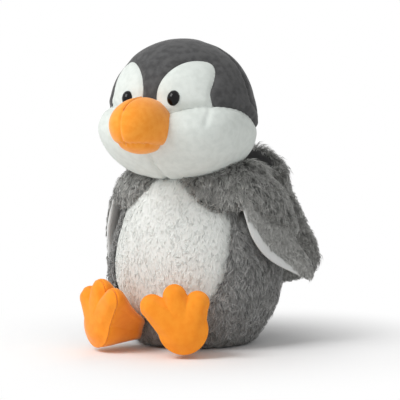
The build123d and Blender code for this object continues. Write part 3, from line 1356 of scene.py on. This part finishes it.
@dataclass
class Foot:
    """One upright, three-toed foot with its sole to the front."""

    side: Side
    yaw: float = math.radians(26)
    right_roll: float = math.radians(7)
    aside: float = 42 * MM
    forward: float = 113 * MM
    columns: int = 220
    toe_radius: float = 11.3 * MM
    heel_radius: float = 23.5 * MM
    heel: tuple[float, float] = (7.0 * MM, 27.3 * MM)
    middle: tuple[float, float] = (0.5 * MM, 37.0 * MM)
    toes: tuple[tuple[float, float], ...] = (
        (-22 * MM, 48.5 * MM),
        (-1 * MM, 58 * MM),
        (20.5 * MM, 52 * MM),
    )

    def pillow(self, spots: Array) -> Array:
        """How full the stuffing is at spots on the sole.

        Args:
            spots: rows of sideways and upward distances.

        Returns:
            1 on the middle line of a toe or the heel, 0 at the outline and less outside.
        """
        heel, best = np.array(self.heel), None
        for toe in self.toes:
            span = np.array(toe) - heel
            share = np.clip((spots - heel) @ span / (span @ span), 0, 1)
            radius = self.heel_radius + (self.toe_radius - self.heel_radius) * share**0.85
            away = np.linalg.norm(spots - heel - share[:, None] * span, axis=1)
            full = 1 - away / radius
            best = full if best is None else np.maximum(best, full)
        return best

    def reach(self, turns: Array) -> Array:
        """The sole's outline around its middle.

        Args:
            turns: angles from straight up, in radians.

        Returns:
            The distance to the outline at each angle.
        """
        ray = np.column_stack([np.sin(turns), np.cos(turns)])
        low, high = np.zeros_like(turns), np.full_like(turns, 0.06)
        for _ in range(22):
            probe = 0.5 * (low + high)
            inside = self.pillow(np.array(self.middle) + ray * probe[:, None]) > 0
            low, high = np.where(inside, probe, low), np.where(inside, high, probe)
        return low

    def place(self, local: Array) -> Array:
        """Moves a foot's points to its place in front of the body.

        Args:
            local: rows of sideways, backward and upward distances.

        Returns:
            The points in the frame of the whole penguin.
        """
        roll = 0.0 if self.side is Side.LEFT else self.right_roll
        back = local[:, 1]
        dx, dz = local[:, 0] - self.heel[0], local[:, 2] - self.heel[1]
        side = self.heel[0] + dx * math.cos(roll) + dz * math.sin(roll)
        up = self.heel[1] - dx * math.sin(roll) + dz * math.cos(roll)
        x = side * math.cos(self.yaw) - back * math.sin(self.yaw) + self.aside
        y = side * math.sin(self.yaw) + back * math.cos(self.yaw) - self.forward
        return np.column_stack([x * self.side.value, y, up])

    def rows(self) -> tuple[list[Array], int]:
        """Rings of points over the sole, round its seam and back to the ankle.

        Returns:
            The rings, and the number of the ring at the sole's seam.
        """
        turns = full_turn(self.columns)
        reach = self.reach(turns)
        ray = np.column_stack([np.sin(turns), np.cos(turns)])
        middle, ankle = np.array(self.middle), np.array([self.heel[0], 11 * MM])
        rings = []
        for share in [*np.linspace(0.04, 0.9, 22), 0.94, 0.97, 0.99]:
            flat = middle + ray * (reach * share)[:, None]
            full = np.clip(self.pillow(flat), 0, 1)
            dome = 6.5 * MM * (1 - (1 - full) ** 2.4) ** 0.75 * (0.45 + 0.55 * smooth_step(0, 0.5, full))
            rings.append(np.column_stack([flat[:, 0], 1.5 * MM - dome, flat[:, 1]]))
        seam = len(rings)
        outline = middle + ray * (reach * 0.975)[:, None]
        rings.append(np.column_stack([outline[:, 0], np.full(self.columns, 2.2 * MM), outline[:, 1]]))
        for back in (3.2, 5, 8, 12, 17, 23, 30, 38, 46):
            swell = 1.0 + 0.045 * math.sin(math.pi * min(back / 20, 1))
            shrink = swell * (1.0 - 0.62 * smooth_step(2.0, 52.0, np.float64(back)))
            flat = ankle + (outline - ankle) * shrink
            rings.append(np.column_stack([flat[:, 0], np.full(self.columns, back * MM), flat[:, 1]]))
        return rings, seam

    def dress(self) -> None:
        """Builds the foot's sole and upper."""
        word = self.side.word
        rings, seam = self.rows()
        for name, first, last in (("sole", 0, seam + 1), ("upper", seam, len(rings))):
            local = np.concatenate(rings[first:last])
            local[:, 0] += 0.5 * MM * ripple(local + self.side.value, 0.02, 2.2)
            local[:, 1] += 0.8 * MM * ripple(local + self.side.value, 0.024, 6.2)
            local[:, 2] = np.maximum(local[:, 2], 0.6 * MM)
            sole = name == "sole"
            faces = grid_faces(last - first, self.columns, start=sole, end=not sole)
            finish = FOOT_PLUSH.material()
            piece = make_object(f"foot_{name}_{word}_plush", self.place(local), faces, finish)
            face_outward(piece)
            if sole and normals_of(piece)[:, 1].mean() > 0:
                piece.data.flip_normals()
            thicken(piece, 1.2 * MM)
            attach(piece, f"foot_{word}")
            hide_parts(f"foot_{name}_{word}", f"foot_filling_{word}")


# ---------------------------------------------------------------- hood


@dataclass
class Hood:
    """The folded-down hood: a cape round the shoulders and the bag behind."""

    body: Body
    columns: int = 220
    lean: float = math.radians(16)
    neck_radius: float = 38 * MM
    neck_height: float = 170 * MM
    right_draw: float = 0.07
    bag_floor: float = 54 * MM
    bag_height: float = 126 * MM
    bag_back: float = 97 * MM
    bag_pivot: float = 137 * MM

    def around(self, angles: list[float], values: list[float]) -> Array:
        """Spreads a few sizes smoothly round the neck, the same on both sides.

        Args:
            angles: degrees from the front, rising.
            values: the size at each angle, in millimetres.

        Returns:
            The size at each column, in metres.
        """
        turn = np.linspace(0, 360, self.columns, endpoint=False)
        plain = np.interp(np.minimum(turn, 360 - turn), angles, values)
        window = np.hanning(15)
        wide = np.concatenate([plain[-7:], plain, plain[:7]])
        return np.convolve(wide, window / window.sum(), mode="valid") * MM

    def cape(self) -> bpy.types.Object:
        """The cape, from the neckline under the head to its rolled hem.

        Returns:
            The cape's outer skin.
        """
        turn = full_turn(self.columns)
        angles = [0, 17, 21, 26, 35, 46, 58, 70, 76, 91, 100, 119, 140, 160, 180]
        hem_heights = [172, 171, 167, 158, 148, 142, 145, 146, 139, 127, 119, 114, 122, 140, 146]
        hem_reaches = [52, 53, 57, 64, 70, 73, 79, 87, 91, 95, 97, 98, 92, 80, 76]
        top_heights = [170, 170, 171, 172, 173, 174, 176, 178, 179, 179, 178, 175, 173, 171, 171]
        top_reaches = [46, 47, 49, 51, 54, 57, 59, 60, 60, 60, 60, 62, 63, 60, 58]
        hem_z, hem_r = self.around(angles, hem_heights), self.around(angles, hem_reaches)
        top_z, top_r = self.around(angles, top_heights), self.around(angles, top_reaches)
        rows = []
        for share in np.linspace(0, 1, 6)[:-1]:
            reach = self.neck_radius + (top_r - self.neck_radius) * share
            rows.append((reach, self.neck_height + (top_z - self.neck_height) * share**0.7))
        fall = hem_z - top_z
        for share in np.linspace(0, 1, 26):
            roll = 3 * MM * math.sin(math.pi * min(share * 5, 1))
            bulge = 0.13 * np.abs(fall) * math.sin(math.pi * share) + roll
            rows.append((top_r + (hem_r - top_r) * share + 0.8 * bulge, top_z + fall * share + 0.6 * bulge))
        for drop, inward in ((-2.5, 1.0), (-3.0, 4.0), (-1.5, 7.0)):
            rows.append((hem_r - inward * MM, hem_z + drop * MM))
        inner = np.minimum(self.body.edge(hem_z + 6 * MM) + 2 * MM, hem_r - 8 * MM)
        rows.append((inner, hem_z + 8 * MM))
        lop = 1 - self.right_draw * smooth_step(0.1, 0.9, -np.sin(turn))
        points = np.concatenate([upright_ring(turn, reach * lop, height) for reach, height in rows])
        out = unit(points * (1, 1, 0))
        fold = 1.8 * MM * ripple(points, 0.022, 8.8) + 1.5 * MM * ripple(points, 0.05, 1.8)
        loose = smooth_step(0.042, 0.055, np.hypot(points[:, 0], points[:, 1]))
        points += fold[:, None] * (out + (0, 0, 0.6)) * loose[:, None]
        faces = grid_faces(len(rows), self.columns)
        return make_object("hood_cape_skin", points, faces, HOOD_FUR.material())

    def bag_row(self, share: float, shrink: float) -> Array:
        """One ring of the bag, at a share of its height.

        Args:
            share: 0 at the bottom, 1 at the mouth.
            shrink: how far inside the outer skin the ring lies.

        Returns:
            Rows of X, Y, Z.
        """
        turn = full_turn(self.columns)
        knots = [0, 0.03, 0.1, 0.2, 0.35, 0.5, 0.7, 0.88, 1]
        half_width = np.interp(share, knots, [34, 56, 74, 80, 77, 69, 60, 57, 55]) * MM - shrink
        half_depth = np.interp(share, knots, [10, 20, 30, 34, 30, 25, 21, 21, 22]) * MM - shrink
        c, s = np.cos(turn), np.sin(turn)
        power = 2 / 2.2
        x = half_width * np.sign(c) * np.abs(c) ** power
        high = smooth_step(0.45, 1.0, np.float64(share))
        level = self.bag_floor + share * self.bag_height
        z = level + (shrink if share < 0.5 else 0) + 9 * MM * s * high
        z = z - 13 * MM * (x / half_width) ** 2 * high
        middle = self.bag_back - (level - self.bag_pivot) * math.tan(self.lean) + 5 * MM * high
        depth = middle + half_depth * np.sign(s) * np.abs(s) ** power
        points = np.column_stack([x, depth, z])
        keep = self.body.edge(points[:, 2]) + 9 * MM + shrink
        radius = np.hypot(points[:, 0], points[:, 1])
        points[:, :2] *= np.maximum(keep / np.maximum(radius, 1e-6), 1.0)[:, None]
        return points

    def bag(self) -> tuple[bpy.types.Object, bpy.types.Object]:
        """The bag's furry outside and its lining.

        Returns:
            The outer skin and the lining.
        """
        shares = np.concatenate([np.linspace(0, 0.12, 8), np.linspace(0.15, 1, 36)])
        outside = [self.bag_row(share, 0.0) for share in shares]
        roll = ((1.2, 3.0), (4.5, 4.6), (8.0, 3.0))
        rims = [self.bag_row(1.0, inset * MM) + (0, 0, rise * MM) for inset, rise in roll]
        inside = [self.bag_row(share, 9.5 * MM) for share in shares[::-1]]
        cloths = (
            ("hood_bag_skin", outside + rims, HOOD_FUR),
            ("hood_bag_lining_cloth", rims[2:] + inside, HOOD_LINING),
        )
        skins = []
        for name, rows, finish in cloths:
            points = np.concatenate(rows)
            out = unit(points * (1, 1, 0))
            dents = 3.0 * MM * ripple(points, 0.045, 1.5) + 1.6 * MM * ripple(points, 0.02, 6.5)
            points += dents[:, None] * out
            mouth = smooth_step(0.14, 0.18, points[:, 2])
            points[:, 2] += 2.5 * MM * ripple(points * (1, 1, 0), 0.03, 3.3) * mouth
            fur = finish is HOOD_FUR
            faces = grid_faces(len(rows), self.columns, start=fur, end=not fur)
            skins.append(make_object(name, points, faces, finish.material()))
        return skins[0], skins[1]

    @staticmethod
    def flow(points: Array) -> Array:
        """The pile hangs down and a little outward.

        Args:
            points: the strands' roots.

        Returns:
            A direction at each root.
        """
        outward = unit(points * (1, 1, 0))
        return outward * 0.35 + np.array([0, 0, -1.0])

    def dress(self) -> None:
        """Builds the cape and the bag with their fur."""
        cape = self.cape()
        bag, lining = self.bag()
        furry = (
            (cape, 61, "body", ("hood_cape_fur", "hood_cape_lining")),
            (bag, 62, "hood_bag", ("hood_bag_fur",)),
        )
        for skin, seed, body, nodes in furry:
            face_outward(skin)
            if (normals_of(skin) * unit(points_of(skin) * (1, 1, 0))).sum(axis=1).mean() < 0:
                skin.data.flip_normals()
            # The skin under the pile gets painted shade from the fur's root colour.
            plain_attributes(skin, 0.3, 0.3)
            coat = Coat(length=10 * MM, lift=0.3, spread=0.6, seed=seed)
            hair = coat.grow(skin.name.replace("skin", "pile"), skin, self.flow, skin.data.materials[0])
            thicken(skin, 2.5 * MM)
            for piece in (skin, hair):
                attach(piece, body)
                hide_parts(*nodes)
        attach(lining, "hood_bag")
        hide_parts("hood_bag_lining")


# ---------------------------------------------------------------- studio


@dataclass
class Studio:
    """The floor, the soft light and the camera."""

    azimuth: float = math.radians(29)
    distance: float = 1.5
    eye_height: float = 0.222
    aim_height: float = 0.142
    aim_aside: float = 0.005
    view_angle: float = math.radians(15.2)

    def floor(self) -> None:
        """Adds a pale floor that fades into the background."""
        bpy.ops.mesh.primitive_plane_add(size=12)
        floor = bpy.context.active_object
        floor.name = "floor"
        floor.location.z = -0.0002
        material = bpy.data.materials.new("floor")
        material.use_nodes = True
        tree = material.node_tree
        matt = tree.nodes["Principled BSDF"]
        matt.inputs["Base Color"].default_value = (0.9, 0.9, 0.9, 1)
        matt.inputs["Roughness"].default_value = 1.0
        matt.inputs["Specular IOR Level"].default_value = 0.0
        glow = tree.nodes.new("ShaderNodeEmission")
        glow.inputs["Strength"].default_value = 1.0
        place = tree.nodes.new("ShaderNodeTexCoord")
        length = tree.nodes.new("ShaderNodeVectorMath")
        length.operation = "LENGTH"
        fade = tree.nodes.new("ShaderNodeMapRange")
        fade.interpolation_type = "SMOOTHSTEP"
        fade.inputs["From Min"].default_value = 0.10
        fade.inputs["From Max"].default_value = 0.32
        seen = tree.nodes.new("ShaderNodeMath")
        seen.operation = "MULTIPLY"
        mix = tree.nodes.new("ShaderNodeMixShader")
        tree.links.new(place.outputs["Object"], length.inputs[0])
        tree.links.new(length.outputs["Value"], fade.inputs["Value"])
        tree.links.new(fade.outputs["Result"], seen.inputs[0])
        tree.links.new(self.in_sight(tree), seen.inputs[1])
        tree.links.new(seen.outputs["Value"], mix.inputs["Fac"])
        tree.links.new(matt.outputs["BSDF"], mix.inputs[1])
        tree.links.new(glow.outputs["Emission"], mix.inputs[2])
        tree.links.new(mix.outputs["Shader"], tree.nodes["Material Output"].inputs["Surface"])
        floor.data.materials.append(material)

    def in_sight(self, tree: bpy.types.NodeTree) -> bpy.types.NodeSocket:
        """Tells the rays that see the white surround from those that it lights.

        Args:
            tree: the node tree that the nodes go into.

        Returns:
            1 for camera, glossy and transmission rays, and 0 for the rest.
        """
        path = tree.nodes.new("ShaderNodeLightPath")
        seen = path.outputs["Is Camera Ray"]
        for name in ("Is Glossy Ray", "Is Transmission Ray"):
            either = tree.nodes.new("ShaderNodeMath")
            either.operation = "MAXIMUM"
            tree.links.new(seen, either.inputs[0])
            tree.links.new(path.outputs[name], either.inputs[1])
            seen = either.outputs["Value"]
        return seen

    def light(self) -> None:
        """Adds three soft lamps and an even surrounding light."""
        world = bpy.data.worlds.new("surround")
        bpy.context.scene.world = world
        world.use_nodes = True
        tree = world.node_tree
        even = tree.nodes["Background"]
        even.inputs["Color"].default_value = (1, 1, 1, 1)
        even.inputs["Strength"].default_value = 0.54
        white = tree.nodes.new("ShaderNodeBackground")
        white.inputs["Color"].default_value = (1, 1, 1, 1)
        white.inputs["Strength"].default_value = 1.0
        mix = tree.nodes.new("ShaderNodeMixShader")
        tree.links.new(self.in_sight(tree), mix.inputs["Fac"])
        tree.links.new(even.outputs["Background"], mix.inputs[1])
        tree.links.new(white.outputs["Background"], mix.inputs[2])
        tree.links.new(mix.outputs["Shader"], tree.nodes["World Output"].inputs["Surface"])
        self.lamp("key_lamp", (-0.6, -1.3, 1.4), 1.0, 24.0)
        self.lamp("side_lamp", (1.6, -0.7, 0.9), 1.0, 0.5)
        self.lamp("back_lamp", (-0.7, 1.7, 1.2), 1.2, 12.0)

    @staticmethod
    def lamp(name: str, spot: tuple[float, float, float], size: float, power: float) -> None:
        """Adds one soft lamp that looks at the penguin.

        Args:
            name: the lamp's name.
            spot: where it stands, in metres.
            size: the side of its square, in metres.
            power: its power in watts.
        """
        data = bpy.data.lights.new(name, "AREA")
        data.size = size
        data.energy = power
        lamp = bpy.data.objects.new(name, data)
        bpy.context.scene.collection.objects.link(lamp)
        lamp.location = spot
        lamp.rotation_euler = (Vector((0, 0, 0.15)) - lamp.location).to_track_quat("-Z", "Y").to_euler()

    def camera(self) -> None:
        """Adds the camera."""
        data = bpy.data.cameras.new("camera")
        data.angle = self.view_angle
        camera = bpy.data.objects.new("camera", data)
        bpy.context.scene.collection.objects.link(camera)
        side, front = math.sin(self.azimuth), math.cos(self.azimuth)
        camera.location = (side * self.distance, -front * self.distance, self.eye_height)
        target = Vector((front * self.aim_aside, side * self.aim_aside, self.aim_height))
        camera.rotation_euler = (target - camera.location).to_track_quat("-Z", "Y").to_euler()
        bpy.context.scene.camera = camera

    def set_up(self) -> None:
        """Adds everything that isn't part of the penguin."""
        self.floor()
        self.light()
        self.camera()
        bpy.context.scene.view_settings.view_transform = "Standard"


def dress_inner_nodes() -> None:
    """Gives the hidden CAD pieces that stay a plain cloth or plastic finish."""
    wadding = Knit("wadding", (0.85, 0.85, 0.82), (0.75, 0.75, 0.72)).material()
    moulded = Gloss("washer_plastic", (0.8, 0.8, 0.78), roughness=0.5).material()
    for name in ("body_filling", "pellet_pouch", "head_filling", "beak_filling"):
        finish_node(name, wadding)
    for side in Side:
        for part in ("flipper_filling", "foot_filling"):
            finish_node(f"{part}_{side.word}", wadding)
        finish_node(f"eye_washer_{side.word}", moulded)


def finish_node(name: str, material: bpy.types.Material) -> None:
    """Gives a carried-over CAD node its material.

    Args:
        name: the node's name.
        material: its new finish.
    """
    node = bpy.data.objects[name]
    for spot in node.material_slots:
        spot.material = material


def main() -> None:
    """Builds the penguin's looks around the frame."""
    logging.basicConfig(level=logging.INFO, format="%(message)s")
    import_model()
    Studio().set_up()
    dress_inner_nodes()
    body = Body()
    parts = [body, Head(), Beak(), Hood(body)]
    parts += [kind(side) for kind in (Eye, Flipper, Foot) for side in Side]
    for part in parts:
        before = set(bpy.data.objects.keys())
        part.dress()
        for name in sorted(set(bpy.data.objects.keys()) - before):
            LOG.info("%s: built %s", type(part).__name__, name)


if __name__ == "__main__":
    main()
